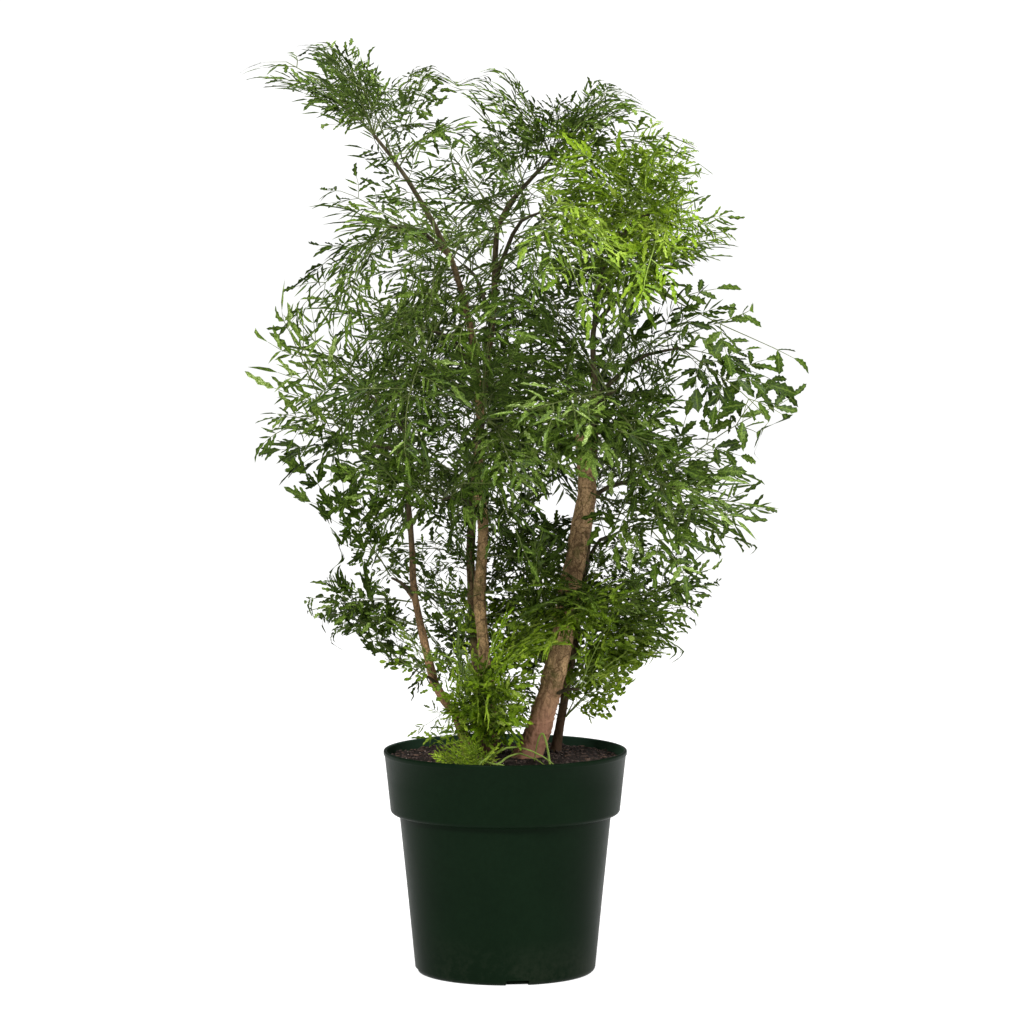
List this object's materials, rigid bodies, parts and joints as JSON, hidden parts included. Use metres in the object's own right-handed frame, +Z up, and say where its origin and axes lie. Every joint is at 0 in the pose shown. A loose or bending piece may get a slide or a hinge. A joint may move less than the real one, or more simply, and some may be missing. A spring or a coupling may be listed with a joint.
{
  "type": "potted ming aralia",
  "caption": "Bushy ming aralia with bare woody canes and finely cut green leaves, planted in a round dark green nursery pot.",
  "frame": {"origin": "centre of the pot's flat underside, on the ground", "axes": "+Z up through the pot's axis, -Y the front of the plant, +X its right seen from the front"},
  "size_m": [0.5614, 0.4926, 0.974],
  "materials": {
    "pot_plastic": "satin",
    "potting_mix": "matte",
    "bark": "matte",
    "foliage": "satin"
  },
  "bodies": {
    "root": {"left_cane": "bark", "left_cane_leaf_01": "foliage", "left_cane_leaf_02": "foliage", "left_cane_leaf_03": "foliage", "left_cane_leaf_04": "foliage", "left_cane_leaf_05": "foliage", "left_cane_leaf_06": "foliage", "left_cane_leaf_07": "foliage", "left_cane_leaf_08": "foliage", "left_cane_leaf_09": "foliage", "left_cane_leaf_10": "foliage", "middle_cane": "bark", "middle_cane_leaf_01": "foliage", "middle_cane_leaf_02": "foliage", "middle_cane_leaf_03": "foliage", "middle_cane_leaf_04": "foliage", "middle_cane_leaf_05": "foliage", "middle_cane_leaf_06": "foliage", "middle_cane_leaf_07": "foliage", "middle_cane_leaf_08": "foliage", "middle_cane_leaf_09": "foliage", "middle_cane_leaf_10": "foliage", "middle_cane_leaf_11": "foliage", "middle_cane_leaf_12": "foliage", "middle_cane_leaf_13": "foliage", "middle_cane_leaf_14": "foliage", "middle_rear_cane": "bark", "middle_rear_cane_leaf_01": "foliage", "middle_rear_cane_leaf_02": "foliage", "middle_rear_cane_leaf_03": "foliage", "middle_rear_cane_leaf_04": "foliage", "middle_rear_cane_leaf_05": "foliage", "middle_rear_cane_leaf_06": "foliage", "middle_rear_cane_leaf_07": "foliage", "middle_rear_cane_leaf_08": "foliage", "middle_rear_cane_leaf_09": "foliage", "pot": "pot_plastic", "potting_mix": "potting_mix", "right_cane": "bark", "right_cane_leaf_01": "foliage", "right_cane_leaf_02": "foliage", "right_cane_leaf_03": "foliage", "right_cane_leaf_04": "foliage", "right_cane_leaf_05": "foliage", "right_cane_leaf_06": "foliage", "right_cane_leaf_07": "foliage", "right_cane_leaf_08": "foliage", "right_rear_cane": "bark", "right_rear_cane_leaf_01": "foliage", "right_rear_cane_leaf_02": "foliage", "right_rear_cane_leaf_03": "foliage", "right_rear_cane_leaf_04": "foliage", "right_rear_cane_leaf_05": "foliage", "right_rear_cane_leaf_06": "foliage", "right_rear_cane_leaf_07": "foliage", "right_rear_cane_leaf_08": "foliage", "right_rear_cane_leaf_09": "foliage", "right_rear_cane_leaf_10": "foliage", "right_rear_cane_leaf_11": "foliage", "right_rear_cane_leaf_12": "foliage"}
  },
  "joints": []
}
